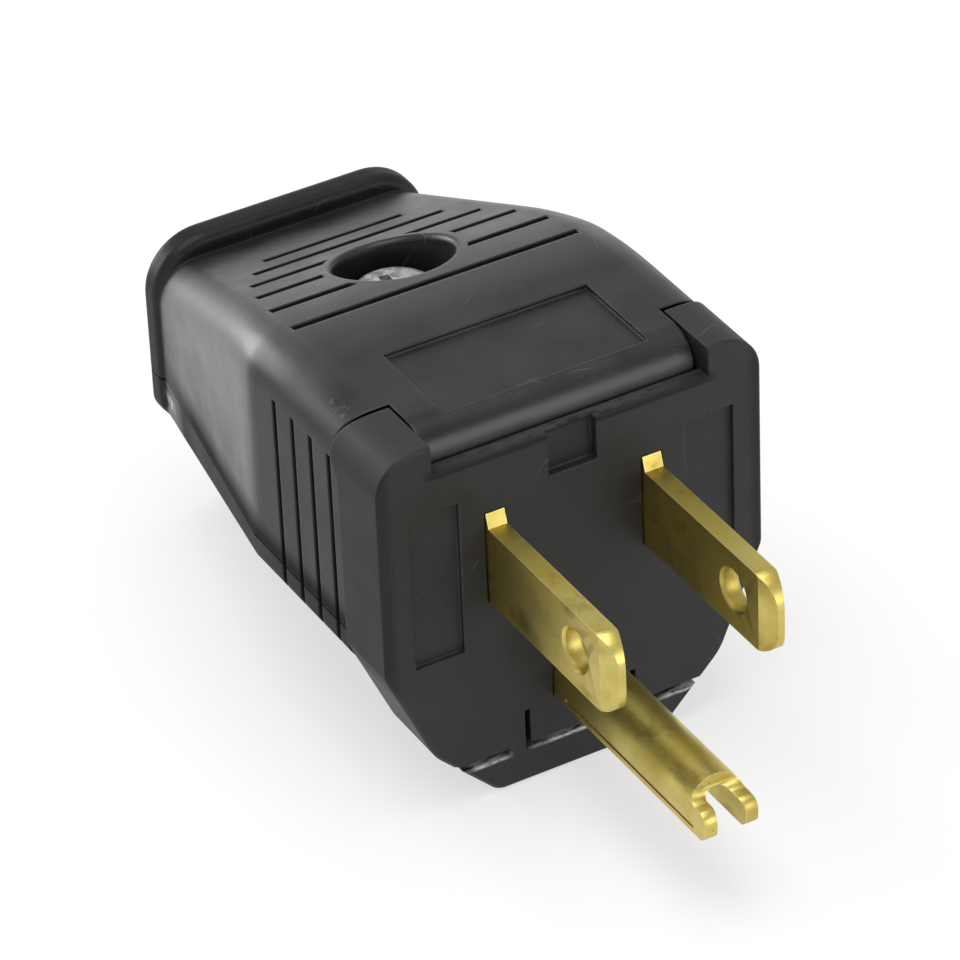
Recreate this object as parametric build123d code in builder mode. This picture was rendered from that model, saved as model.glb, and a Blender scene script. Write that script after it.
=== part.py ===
"""Rewirable grounding plug with a hinged two-jaw body, in millimetres.

The face is the plane y = 0 and looks along -Y, the blades stand out of it along -Y, the body runs back
along +Y and +Z is up. The origin is on the face, on the centre line of the two flat blades.
"""

import os
from math import asin, cos, hypot, sin, sqrt, tan

from build123d import *

os.makedirs("parts", exist_ok=True)

# Blade pattern of a 15 A, 125 V grounding plug
BLADE_SPACING = 12.7
BLADE_HEIGHT = 6.35
BLADE_THICKNESS = 1.52
BLADE_REACH = 16.95
BLADE_HOLE_DIAMETER = 3.18
BLADE_HOLE_RIM = 0.2
BLADE_HOLE_REACH = 11.9
BLADE_TIP_THICKNESS = 0.5
BLADE_BEVEL_LENGTH = 1.8
BLADE_CORNER = 2.3
SHOULDER_RISE = 1.1
SHOULDER_REACH = 0.35
GROUND_TOP = -9.5
GROUND_WIDTH = 4.3
GROUND_WALL = 1.0
GROUND_HEIGHT = 3.9
GROUND_REACH = 20.4
GROUND_ARCH_SETBACK = 2.2
GROUND_LEG_HEIGHT = 2.3
GROUND_LEG_ROUND = 0.9
GROUND_NOTCH_ROUND = 0.8
GROUND_COIN_RISE = 0.55
GROUND_COIN_WIDTH = 0.3
GROUND_COIN_DEPTH = 0.12
GROUND_COIN_END = 1.6

# Clearances
HINGE_GAP = 0.25
SWING_GAP = 0.25
PARTING_GAP = 0.2
PIN_FIT = 0.06
SLOT_FIT = 0.08
TERMINAL_FIT = 0.05
TERMINAL_BORE_FIT = 0.3
SCREW_HOLE_FIT = 0.3
WASHER_FIT = 0.06
NUT_FIT = 0.06

# Hinges
UPPER_AXIS = (3.7, 9.2)
NOSE_RADIUS = 2.1
NOSE_STEP = 0.4
UPPER_PIN_RADIUS = 1.1
UPPER_PIN_LENGTH = 2.0
LOWER_AXIS_DEPTH = 4.6
KNUCKLE_RADIUS = 1.7
KNUCKLE_RISE = 0.1
LOWER_PIN_RADIUS = 0.9
LOWER_PIN_LENGTH = 1.5

# Face block
BLOCK_HALF_WIDTH = 15.5
BLOCK_DEPTH = 5.8
EAR_TOP = 11.4
EAR_INNER = 11.15
EAR_CORNER = 3.2
LIP_TOP = 9.0
CHIN_BOTTOM = -20.1
CHIN_HALF_WIDTH = 6.9
CHIN_CORNER = 1.6
FLANK_KNEE = (11.9, -15.1)
FLANK_TOP = -6.9
FLANK_ROUND = 1.4
KNEE_ROUND = 4.0
FACE_EDGE = 0.25
NOTCH_HALF_WIDTH = 1.95
NOTCH_BOTTOM = 5.5
NOTCH_DEPTH = 0.75
PANEL_INNER = 9.2
PANEL_OUTER = 13.1
PANEL_TOP = 6.0
PANEL_BOTTOM = -6.8
PANEL_DEPTH = 0.4

# Snap slits at the foot of the face
SLIT_WIDTH = 0.45
SLIT_TOP = -13.8
SLIT_LEVEL = -16.95
TONGUE_HALF_WIDTH = 4.6
SIDE_SLIT_INNER = 5.9
SIDE_SLIT_HEIGHT = 0.6
SIDE_SLIT_DEPTH = 1.3

# Contact carrier behind the face block
CARRIER_REAR = 9.5
CARRIER_GAP = 1.6
CARRIER_TOP = 6.2
CARRIER_SHOULDER = -5.6
CARRIER_FOOT = -15.2
CARRIER_FOOT_HALF_WIDTH = 5.2

# Terminals
TAB_RIM = 0.35
TAB_ROUND = 0.8
TERMINAL_WALL_GAP = 0.85
TERMINAL_ROOT_GAP = 0.64
TERMINAL_HEAD_RIM = 1.2
TERMINAL_HEAD_HEIGHT = 2.1
TERMINAL_SHANK_LENGTH = 5.6
TERMINAL_DRIVE_WIDTH = 0.9
TERMINAL_DRIVE_DEPTH = 0.9
TERMINAL_DRIVE_SHARE = 0.8
GROUND_TAB_RIM = 0.85
GROUND_TERMINAL_RISE = 5.0

# Jaws
JAW_STEP = 0.3
JAW_TOP = 11.4
JAW_WALL = 2.0
FOLD_AT = 20.0
FOLD_ROUND = 14.0
ROOF_BREAK = 13.0
ROOF_RADIUS = 40.0
ROOF_ARC_END = 27.0
ROOF_EDGE_ROUND = 3.3
CAVITY_EDGE_ROUND = 1.2
CAVITY_REAR = 32.5
PARTING = -6.3
LOWER_SHOULDER = -7.9
LOWER_REAR_SHOULDER = -9.4
LOWER_REAR_FOOT = (4.6, -17.2)
LOWER_SHOULDER_ROUND = 1.2
LOWER_FOOT_ROUND = 1.6

# Collar at the cord end
COLLAR_REAR = 43.8
COLLAR_LENGTH = 2.6
COLLAR_STEP = 0.4
COLLAR_HALF_WIDTH = 11.6
COLLAR_TOP = 5.1
COLLAR_ROUND = 4.6
COLLAR_SHOULDER = -9.0
COLLAR_FOOT = (5.0, -18.0)
COLLAR_SHOULDER_ROUND = 1.5
COLLAR_FOOT_ROUND = 3.0
COLLAR_EDGE = 0.9
CORD_RADIUS = 6.0
CLAMP_RIB_HEIGHT = 0.8
CLAMP_RIB_WIDTH = 1.2
CLAMP_RIB_COUNT = 3
CLAMP_RIB_PITCH = 3.0

# Grip and label details of the jaws
RIB_FIRST = 7.5
RIB_PITCH = 2.65
RIB_COUNT = 4
RIB_TOP = 8.0
LOWER_RIB_END = -15.1
RIB_WIDTH = 0.55
RIB_DEPTH = 0.35
GROOVE_FIRST = 18.7
GROOVE_PITCH = 3.95
GROOVE_CLOSING = 0.16
GROOVE_COUNT = 6
GROOVE_WIDTH = 0.7
GROOVE_DEPTH = 0.45
GROOVE_FRONT_REACH = 11.75
GROOVE_REAR_REACH = 5.85
LABEL_HALF_WIDTH = 8.3
LABEL_FRONT = 3.4
LABEL_REAR = 11.8
LABEL_DEPTH = 0.4

# Clamp screw, its well, its nut and its retaining washer
SCREW_AT = 25.1
WELL_RADIUS = 4.5
WELL_RIM = 0.9
WELL_ROUND = 0.5
WELL_FLOOR = -0.9
BOSS_WALL = 1.4
SCREW_TRAVEL = 5.5
SCREW_HEAD_RADIUS = 3.4
SCREW_HEAD_HEIGHT = 2.2
SCREW_HEAD_ROUND = 0.9
SCREW_SHANK_RADIUS = 2.05
SCREW_CROSS_REACH = 1.9
SCREW_CROSS_WIDTH = 0.8
SCREW_CROSS_DEPTH = 1.2
SCREW_TIP = 0.5
WASHER_RADIUS = 3.6
WASHER_THICKNESS = 0.9
NUT_ACROSS = 8.7
NUT_THICKNESS = 3.2
NUT_COVER = 2.3
NUT_BOSS_WALL = 2.5

# Sizes that follow from the ones above
BLADE_X = BLADE_SPACING / 2
GROUND_FOOT = GROUND_TOP - GROUND_HEIGHT
LIP_WALL = UPPER_AXIS[0] - NOSE_RADIUS - HINGE_GAP
TROUGH_FLOOR = UPPER_AXIS[1] - NOSE_RADIUS - HINGE_GAP
EAR_SWEEP = hypot(BLOCK_DEPTH - UPPER_AXIS[0], EAR_TOP - UPPER_AXIS[1])
LOWER_AXIS = (LOWER_AXIS_DEPTH, CHIN_BOTTOM + KNUCKLE_RADIUS + KNUCKLE_RISE)
KNUCKLE_HALF_WIDTH = TONGUE_HALF_WIDTH - HINGE_GAP
JAW_FRONT = BLOCK_DEPTH + HINGE_GAP
JAW_HALF_WIDTH = BLOCK_HALF_WIDTH - JAW_STEP
JAW_INNER = JAW_HALF_WIDTH - JAW_WALL
CARRIER_HALF_WIDTH = JAW_INNER - CARRIER_GAP
COLLAR_FRONT = COLLAR_REAR - COLLAR_LENGTH
JAW_REAR = COLLAR_FRONT + COLLAR_EDGE
JAW_REAR_HALF_WIDTH = COLLAR_HALF_WIDTH - COLLAR_STEP
LOWER_FOOT = (CHIN_HALF_WIDTH - JAW_STEP, CHIN_BOTTOM)
UPPER_FLOOR = PARTING + PARTING_GAP / 2
LOWER_RIM = PARTING - PARTING_GAP / 2
ROOF_TILT = asin((ROOF_ARC_END - ROOF_BREAK) / ROOF_RADIUS)
SCREW_SEAT = WELL_FLOOR + SCREW_TRAVEL
NUT_LEDGE = LOWER_RIM - NUT_COVER
TAB_FACE = CARRIER_REAR + BLADE_THICKNESS
TERMINAL_OUTER = JAW_INNER - TERMINAL_WALL_GAP
TERMINAL_INNER = BLADE_X + BLADE_THICKNESS / 2 + TERMINAL_ROOT_GAP
TERMINAL_HEAD_RADIUS = (TERMINAL_OUTER - TERMINAL_INNER + TERMINAL_HEAD_RIM) / 2
TERMINAL_SHANK_RADIUS = TERMINAL_HEAD_RADIUS - TERMINAL_HEAD_RIM
TERMINAL_X = TERMINAL_OUTER - TERMINAL_HEAD_RADIUS
TAB_HOLE_RADIUS = TERMINAL_SHANK_RADIUS + TERMINAL_FIT
GROUND_TERMINAL_Z = GROUND_TOP + GROUND_TERMINAL_RISE

# Length by which cutting tools run past the body, overlap that joins two forms, and selection tolerance
OVERSHOOT = 2.0
SINK = 0.5
NEAR = 0.01


def side_plane(x):
    """Sketch plane across the plug at x, with local axes Y and Z."""
    return Plane.YZ.offset(x)


def cross_plane(y):
    """Sketch plane facing the front at y, with local axes X and Z."""
    return Plane.XZ.offset(-y)


def jaw_half_width(y):
    """Half width of the jaws' plan at y, before the fold is rounded."""
    taper = (JAW_HALF_WIDTH - JAW_REAR_HALF_WIDTH) / (JAW_REAR - FOLD_AT)
    return JAW_HALF_WIDTH - max(0.0, y - FOLD_AT) * taper


def roof_height(y):
    """Height of the upper jaw's roof at y."""
    if y <= ROOF_BREAK:
        return JAW_TOP
    if y <= ROOF_ARC_END:
        return JAW_TOP - ROOF_RADIUS + sqrt(ROOF_RADIUS**2 - (y - ROOF_BREAK) ** 2)
    arc_drop = ROOF_RADIUS * (1 - cos(ROOF_TILT))
    return JAW_TOP - arc_drop - (y - ROOF_ARC_END) * tan(ROOF_TILT)


def mirrored(points):
    """Points of the right-hand half, followed by their mirror images in reverse order."""
    return list(points) + [(-x, z) for x, z in reversed(points)]


def upper_form(inset, rear, edge_round):
    """Solid under the roof and inside the plan of the upper jaw, both drawn in by inset."""
    front_half = JAW_HALF_WIDTH - inset
    rear_half = jaw_half_width(rear) - inset
    arc_radius = ROOF_RADIUS - inset
    arc_centre = (ROOF_BREAK, JAW_TOP - ROOF_RADIUS)
    arc_end = (arc_centre[0] + arc_radius * sin(ROOF_TILT), arc_centre[1] + arc_radius * cos(ROOF_TILT))
    arc_middle = (
        arc_centre[0] + arc_radius * sin(ROOF_TILT / 2),
        arc_centre[1] + arc_radius * cos(ROOF_TILT / 2),
    )
    rear_top = arc_end[1] - (rear - arc_end[0]) * tan(ROOF_TILT)
    front_top = JAW_TOP - inset
    with BuildPart() as form:
        with BuildSketch(Plane.XY.offset(UPPER_FLOOR)):
            with BuildLine():
                Polyline(
                    (-front_half, JAW_FRONT),
                    (front_half, JAW_FRONT),
                    (front_half, FOLD_AT),
                    (rear_half, rear),
                    (-rear_half, rear),
                    (-front_half, FOLD_AT),
                    close=True,
                )
            plan = make_face()
            fillet(plan.vertices().filter_by(lambda v: abs(v.Y - FOLD_AT) < NEAR), FOLD_ROUND)
        extrude(amount=JAW_TOP - UPPER_FLOOR + OVERSHOOT)
        with BuildSketch(Plane.YZ):
            with BuildLine():
                Polyline((rear, rear_top), (rear, UPPER_FLOOR), (JAW_FRONT, UPPER_FLOOR))
                Polyline((JAW_FRONT, UPPER_FLOOR), (JAW_FRONT, front_top), (ROOF_BREAK, front_top))
                ThreePointArc((ROOF_BREAK, front_top), arc_middle, arc_end)
                Line(arc_end, (rear, rear_top))
            make_face()
        extrude(amount=JAW_HALF_WIDTH + OVERSHOOT, both=True, mode=Mode.INTERSECT)
        crest = form.edges().filter_by(
            lambda e: abs(e.center().X) > rear_half / 2
            and e.center().Z > UPPER_FLOOR + edge_round
            and JAW_FRONT + NEAR < e.center().Y < rear - NEAR
            and e.bounding_box().size.Y > SINK
        )
        fillet(crest, edge_round)
    return form.part


def lower_section(y, half_width, shoulder, foot, rim, inset):
    """Cross-section of the lower jaw at y: rim, shoulder and foot on each side, drawn in by inset."""
    inner_shoulder = shoulder + inset / 3
    inner_foot = foot[1] + inset
    with BuildSketch(cross_plane(y)) as section:
        with BuildLine():
            outline = mirrored(
                [
                    (half_width - inset, rim),
                    (half_width - inset, inner_shoulder),
                    (foot[0] - inset / 2, inner_foot),
                ]
            )
            Polyline(*outline, close=True)
        make_face()
        for corner, radius in ((inner_shoulder, LOWER_SHOULDER_ROUND), (inner_foot, LOWER_FOOT_ROUND)):
            fillet(section.vertices().filter_by(lambda v: abs(v.Y - corner) < NEAR), radius)
    return section.sketch


def lower_form(inset, rear, rim):
    """Solid of the lower jaw: straight to the fold, then lofted to its rear section."""
    share = (rear - FOLD_AT) / (JAW_REAR - FOLD_AT)
    rear_shoulder = LOWER_SHOULDER + (LOWER_REAR_SHOULDER - LOWER_SHOULDER) * share
    rear_foot = tuple(a + (b - a) * share for a, b in zip(LOWER_FOOT, LOWER_REAR_FOOT))
    with BuildPart() as form:
        add(lower_section(JAW_FRONT, JAW_HALF_WIDTH, LOWER_SHOULDER, LOWER_FOOT, rim, inset))
        extrude(amount=FOLD_AT - JAW_FRONT, dir=(0, 1, 0))
        add(lower_section(FOLD_AT, JAW_HALF_WIDTH, LOWER_SHOULDER, LOWER_FOOT, rim, inset))
        add(lower_section(rear, jaw_half_width(rear), rear_shoulder, rear_foot, rim, inset))
        loft(ruled=True)
    return form.part


def collar_half(outline, rounds, rim):
    """Half of the collar, from its section's right-hand points, with both of its rims rounded."""
    with BuildPart() as half:
        with BuildSketch(cross_plane(COLLAR_FRONT)) as section:
            with BuildLine():
                Polyline(*mirrored(outline), close=True)
            make_face()
            for corner, radius in rounds:
                fillet(section.vertices().filter_by(lambda v: abs(v.Y - corner) < NEAR), radius)
        extrude(amount=COLLAR_LENGTH, dir=(0, 1, 0))
        rims = half.edges().filter_by(
            lambda e: abs(e.center().Z - rim) > NEAR and e.bounding_box().size.Y < NEAR
        )
        fillet(rims, COLLAR_EDGE)
    return half.part


def cord_throat():
    """Round passage for the cord through the collar, narrowed by clamp ribs."""
    with BuildPart() as throat:
        with BuildSketch(cross_plane(CAVITY_REAR - OVERSHOOT)):
            with Locations((0, PARTING)):
                Circle(CORD_RADIUS)
        extrude(amount=COLLAR_REAR - CAVITY_REAR + 2 * OVERSHOOT, dir=(0, 1, 0))
        for rib in range(CLAMP_RIB_COUNT):
            at = CAVITY_REAR + CLAMP_RIB_PITCH * (rib + 1) - CLAMP_RIB_WIDTH
            with BuildSketch(cross_plane(at)):
                with Locations((0, PARTING)):
                    Circle(CORD_RADIUS + SINK)
                    Circle(CORD_RADIUS - CLAMP_RIB_HEIGHT, mode=Mode.SUBTRACT)
            extrude(amount=CLAMP_RIB_WIDTH, dir=(0, 1, 0), mode=Mode.SUBTRACT)
    return throat.part


def hinge_rod(axis, radius, inner, outer):
    """Pair of round rods along X about a hinge axis, from inner to outer on each side."""
    with BuildPart() as rods:
        for side in (1, -1):
            with BuildSketch(side_plane(side * inner)):
                with Locations(axis):
                    Circle(radius)
            extrude(amount=outer - inner, dir=(side, 0, 0))
    return rods.part


def round_bar(axis, radius, half_length):
    """Round bar along X about a hinge axis, centred on the plug."""
    with BuildPart() as bar:
        with BuildSketch(Plane.YZ):
            with Locations(axis):
                Circle(radius)
        extrude(amount=half_length, both=True)
    return bar.part


def blade(side):
    """Flat blade with its root shoulder, its hole, its bevelled tip and its bent terminal tab."""
    half_height = BLADE_HEIGHT / 2
    x = side * BLADE_X
    with BuildPart() as piece:
        with BuildSketch(side_plane(x)):
            with BuildLine():
                Polyline(
                    (-BLADE_REACH, -half_height),
                    (TAB_FACE, -half_height),
                    (TAB_FACE, half_height),
                    (BLOCK_DEPTH, half_height),
                    (BLOCK_DEPTH, half_height + SHOULDER_RISE),
                    (0, half_height + SHOULDER_RISE),
                    (-SHOULDER_REACH, half_height),
                    (-BLADE_REACH, half_height),
                    close=True,
                )
            outline = make_face()
            fillet(outline.vertices().filter_by(lambda v: abs(v.X + BLADE_REACH) < NEAR), BLADE_CORNER)
            with Locations((-BLADE_HOLE_REACH, 0)):
                Circle(BLADE_HOLE_DIAMETER / 2, mode=Mode.SUBTRACT)
        extrude(amount=BLADE_THICKNESS / 2, both=True)
        hole_rims = piece.edges().filter_by(GeomType.CIRCLE)
        hole_rims = hole_rims.filter_by(lambda e: abs(e.arc_center.Y + BLADE_HOLE_REACH) < NEAR)
        chamfer(hole_rims, BLADE_HOLE_RIM)
        half_tip = BLADE_TIP_THICKNESS / 2
        half_sheet = BLADE_THICKNESS / 2
        for flank in (1, -1):
            with BuildSketch(Plane.XY):
                with BuildLine():
                    Polyline(
                        (x + flank * half_tip, -BLADE_REACH),
                        (x + flank * half_sheet, -BLADE_REACH + BLADE_BEVEL_LENGTH),
                        (x + flank * (half_sheet + SINK), -BLADE_REACH + BLADE_BEVEL_LENGTH),
                        (x + flank * (half_sheet + SINK), -BLADE_REACH - SINK),
                        (x + flank * half_tip, -BLADE_REACH - SINK),
                        close=True,
                    )
                make_face()
            extrude(amount=BLADE_HEIGHT, both=True, mode=Mode.SUBTRACT)
        tab_end = side * (TERMINAL_X + TAB_HOLE_RADIUS + TAB_RIM)
        with BuildSketch(cross_plane(CARRIER_REAR)):
            with BuildLine():
                Polyline(
                    (x - side * half_sheet, -half_height),
                    (tab_end, -half_height),
                    (tab_end, half_height),
                    (x - side * half_sheet, half_height),
                    close=True,
                )
            tab = make_face()
            fillet(tab.vertices().filter_by(lambda v: abs(v.X - tab_end) < NEAR), TAB_ROUND)
            with Locations((side * TERMINAL_X, 0)):
                Circle(TAB_HOLE_RADIUS, mode=Mode.SUBTRACT)
        extrude(amount=BLADE_THICKNESS, dir=(0, 1, 0))
    return piece


def terminal_screw(x, z):
    """Slotted binding-head terminal screw on a tab's rear face, its shank toward the front."""
    with BuildPart() as screw:
        with BuildSketch(cross_plane(TAB_FACE)):
            with Locations((x, z)):
                Circle(TERMINAL_HEAD_RADIUS)
        extrude(amount=TERMINAL_HEAD_HEIGHT, dir=(0, 1, 0))
        rim = screw.edges().filter_by(GeomType.CIRCLE).sort_by(Axis.Y)[-1]
        chamfer(rim, TERMINAL_HEAD_HEIGHT / 4)
        with BuildSketch(cross_plane(TAB_FACE)):
            with Locations((x, z)):
                Circle(TERMINAL_SHANK_RADIUS)
        extrude(amount=TERMINAL_SHANK_LENGTH, dir=(0, -1, 0))
        slot_floor = TAB_FACE + TERMINAL_HEAD_HEIGHT - TERMINAL_DRIVE_DEPTH
        slot_length = 2 * TERMINAL_HEAD_RADIUS * TERMINAL_DRIVE_SHARE
        with BuildSketch(cross_plane(slot_floor)):
            with Locations((x, z)):
                Rectangle(TERMINAL_DRIVE_WIDTH, slot_length)
                Rectangle(slot_length, TERMINAL_DRIVE_WIDTH)
        extrude(amount=TERMINAL_HEAD_HEIGHT, dir=(0, 1, 0), mode=Mode.SUBTRACT)
    return screw


def ground_profile(grow):
    """Hairpin section of the ground pin, its arch on top, grown all round by grow."""
    top = GROUND_TOP + grow
    bottom = GROUND_FOOT - grow
    outer = GROUND_WIDTH / 2 + grow
    inner = GROUND_WIDTH / 2 - GROUND_WALL - grow
    crown = top - outer
    with BuildSketch(cross_plane(0)) as section:
        with BuildLine():
            Line((-outer, bottom), (-outer, crown))
            ThreePointArc((-outer, crown), (0, top), (outer, crown))
            Line((outer, crown), (outer, bottom))
            Line((outer, bottom), (inner, bottom))
            Line((inner, bottom), (inner, crown))
            ThreePointArc((inner, crown), (0, crown + inner), (-inner, crown))
            Line((-inner, crown), (-inner, bottom))
            Line((-inner, bottom), (-outer, bottom))
        make_face()
    return section.sketch



def ear_backs():
    """Rear of both ears, rounded about the upper hinge."""
    foot = UPPER_AXIS[1] - EAR_SWEEP
    with BuildPart() as backs:
        with BuildSketch(cross_plane(BLOCK_DEPTH - SINK)) as ears:
            with Locations((0, (EAR_TOP + foot) / 2)):
                Rectangle(2 * BLOCK_HALF_WIDTH, EAR_TOP - foot)
            fillet(ears.vertices().filter_by(lambda v: abs(v.Y - EAR_TOP) < NEAR), EAR_CORNER)
            with Locations((0, (EAR_TOP + foot) / 2)):
                Rectangle(2 * EAR_INNER, EAR_TOP - foot, mode=Mode.SUBTRACT)
        extrude(amount=EAR_SWEEP, dir=(0, 1, 0))
        add(round_bar(UPPER_AXIS, EAR_SWEEP, BLOCK_HALF_WIDTH), mode=Mode.INTERSECT)
    return backs.part


# Front block: face, ears, lip, chin, hinge lugs and contact carrier in one moulding
with BuildPart() as front_block:
    with BuildSketch(cross_plane(0)) as face_outline:
        with BuildLine():
            Polyline(
                *mirrored(
                    [
                        (BLOCK_HALF_WIDTH, EAR_TOP),
                        (BLOCK_HALF_WIDTH, FLANK_TOP),
                        FLANK_KNEE,
                        (CHIN_HALF_WIDTH, CHIN_BOTTOM),
                    ]
                ),
                close=True,
            )
        make_face()
        for corner, radius in (
            (EAR_TOP, EAR_CORNER),
            (FLANK_TOP, FLANK_ROUND),
            (FLANK_KNEE[1], KNEE_ROUND),
            (CHIN_BOTTOM, CHIN_CORNER),
        ):
            fillet(face_outline.vertices().filter_by(lambda v: abs(v.Y - corner) < NEAR), radius)
    extrude(amount=BLOCK_DEPTH, dir=(0, 1, 0))
    chamfer(front_block.faces().sort_by(Axis.Y)[0].edges(), FACE_EDGE)
    with BuildSketch(cross_plane(BLOCK_DEPTH)):
        with BuildLine():
            Polyline(
                *mirrored(
                    [
                        (CARRIER_HALF_WIDTH, CARRIER_TOP),
                        (CARRIER_HALF_WIDTH, CARRIER_SHOULDER),
                        (CARRIER_FOOT_HALF_WIDTH, CARRIER_FOOT),
                    ]
                ),
                close=True,
            )
        make_face()
    extrude(amount=CARRIER_REAR - BLOCK_DEPTH, dir=(0, 1, 0))
    # Hinge trough behind the lip, open upwards between the ears
    with BuildSketch(Plane.YZ):
        with BuildLine():
            Polyline(
                (-OVERSHOOT, LIP_TOP),
                (LIP_WALL, LIP_TOP),
                (LIP_WALL, TROUGH_FLOOR),
                (BLOCK_DEPTH + OVERSHOOT, TROUGH_FLOOR),
                (BLOCK_DEPTH + OVERSHOOT, EAR_TOP + OVERSHOOT),
                (-OVERSHOOT, EAR_TOP + OVERSHOOT),
                close=True,
            )
        make_face()
    extrude(amount=EAR_INNER, both=True, mode=Mode.SUBTRACT)
    add(ear_backs())
    add(
        hinge_rod(
            UPPER_AXIS,
            UPPER_PIN_RADIUS + PIN_FIT,
            EAR_INNER - SINK,
            EAR_INNER + UPPER_PIN_LENGTH,
        ),
        mode=Mode.SUBTRACT,
    )
    # Pocket for the lower knuckle, open behind and below, with a round lug left on each side
    pocket_roof = LOWER_AXIS[1] + KNUCKLE_RADIUS + HINGE_GAP
    add(round_bar(LOWER_AXIS, KNUCKLE_RADIUS + HINGE_GAP, TONGUE_HALF_WIDTH), mode=Mode.SUBTRACT)
    with BuildSketch(Plane.YZ):
        with BuildLine():
            Polyline(
                (LOWER_AXIS[0], pocket_roof),
                (CARRIER_REAR + OVERSHOOT, pocket_roof),
                (CARRIER_REAR + OVERSHOOT, CHIN_BOTTOM - OVERSHOOT),
                (LOWER_AXIS[0] - KNUCKLE_RADIUS - HINGE_GAP, CHIN_BOTTOM - OVERSHOOT),
                (LOWER_AXIS[0] - KNUCKLE_RADIUS - HINGE_GAP, LOWER_AXIS[1]),
                (LOWER_AXIS[0], LOWER_AXIS[1]),
                close=True,
            )
        make_face()
    extrude(amount=TONGUE_HALF_WIDTH, both=True, mode=Mode.SUBTRACT)
    for side in (1, -1):
        with BuildSketch(side_plane(side * TONGUE_HALF_WIDTH)):
            with BuildLine():
                Polyline(
                    (BLOCK_DEPTH + OVERSHOOT, LOWER_AXIS[1]),
                    (LOWER_AXIS[0], LOWER_AXIS[1]),
                    (LOWER_AXIS[0], CHIN_BOTTOM - OVERSHOOT),
                    (BLOCK_DEPTH + OVERSHOOT, CHIN_BOTTOM - OVERSHOOT),
                    close=True,
                )
            make_face()
        extrude(amount=BLOCK_HALF_WIDTH, dir=(side, 0, 0), mode=Mode.SUBTRACT)
    add(hinge_rod(LOWER_AXIS, KNUCKLE_RADIUS, TONGUE_HALF_WIDTH, CHIN_HALF_WIDTH))
    add(
        hinge_rod(
            LOWER_AXIS,
            LOWER_PIN_RADIUS + PIN_FIT,
            TONGUE_HALF_WIDTH - SINK,
            KNUCKLE_HALF_WIDTH + LOWER_PIN_LENGTH + HINGE_GAP,
        ),
        mode=Mode.SUBTRACT,
    )
    # Top notch, bare label panels and snap slits of the face
    with BuildSketch(cross_plane(0)):
        with Locations((0, (NOTCH_BOTTOM + EAR_TOP) / 2)):
            Rectangle(2 * NOTCH_HALF_WIDTH, EAR_TOP - NOTCH_BOTTOM)
    extrude(amount=NOTCH_DEPTH, dir=(0, 1, 0), mode=Mode.SUBTRACT)
    with BuildSketch(cross_plane(0)):
        for side in (1, -1):
            with Locations((side * (PANEL_INNER + PANEL_OUTER) / 2, (PANEL_TOP + PANEL_BOTTOM) / 2)):
                Rectangle(PANEL_OUTER - PANEL_INNER, PANEL_TOP - PANEL_BOTTOM)
    extrude(amount=PANEL_DEPTH, dir=(0, 1, 0), mode=Mode.SUBTRACT)
    with BuildSketch(cross_plane(0)):
        for side in (1, -1):
            with Locations((side * (TONGUE_HALF_WIDTH - SLIT_WIDTH / 2), (SLIT_TOP + SLIT_LEVEL) / 2)):
                Rectangle(SLIT_WIDTH, SLIT_TOP - SLIT_LEVEL)
        with Locations((0, SLIT_LEVEL)):
            Rectangle(2 * TONGUE_HALF_WIDTH, SLIT_WIDTH)
    extrude(amount=LOWER_AXIS[0], dir=(0, 1, 0), mode=Mode.SUBTRACT)
    side_slit_length = BLOCK_HALF_WIDTH - SIDE_SLIT_INNER
    with BuildSketch(cross_plane(0)):
        for side in (1, -1):
            with Locations((side * (SIDE_SLIT_INNER + side_slit_length / 2), SLIT_LEVEL)):
                Rectangle(side_slit_length, SIDE_SLIT_HEIGHT)
    extrude(amount=SIDE_SLIT_DEPTH, dir=(0, 1, 0), mode=Mode.SUBTRACT)
    # Slots for the blades and the ground pin, and clearance bores for the terminal shanks
    shoulder_slot = BLADE_HEIGHT + SHOULDER_RISE + 2 * SLOT_FIT
    with BuildSketch(cross_plane(0)):
        with Locations((-BLADE_X, SHOULDER_RISE / 2), (BLADE_X, SHOULDER_RISE / 2)):
            Rectangle(BLADE_THICKNESS + 2 * SLOT_FIT, shoulder_slot)
        add(ground_profile(SLOT_FIT))
    extrude(amount=CARRIER_REAR, dir=(0, 1, 0), mode=Mode.SUBTRACT)
    bore_radius = TERMINAL_SHANK_RADIUS + TERMINAL_BORE_FIT
    with BuildSketch(cross_plane(CARRIER_REAR)):
        with Locations((TERMINAL_X, 0), (-TERMINAL_X, 0), (0, GROUND_TERMINAL_Z)):
            Circle(bore_radius)
    extrude(amount=TERMINAL_SHANK_LENGTH, dir=(0, -1, 0), mode=Mode.SUBTRACT)
front_block.part.label = "front_block"
export_step(front_block.part, "parts/front_block.step")

# Line blade on the left of the face, neutral blade on its right
line_blade = blade(-1)
line_blade.part.label = "line_blade"
export_step(line_blade.part, "parts/line_blade.step")

neutral_blade = blade(1)
neutral_blade.part.label = "neutral_blade"
export_step(neutral_blade.part, "parts/neutral_blade.step")

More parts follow.
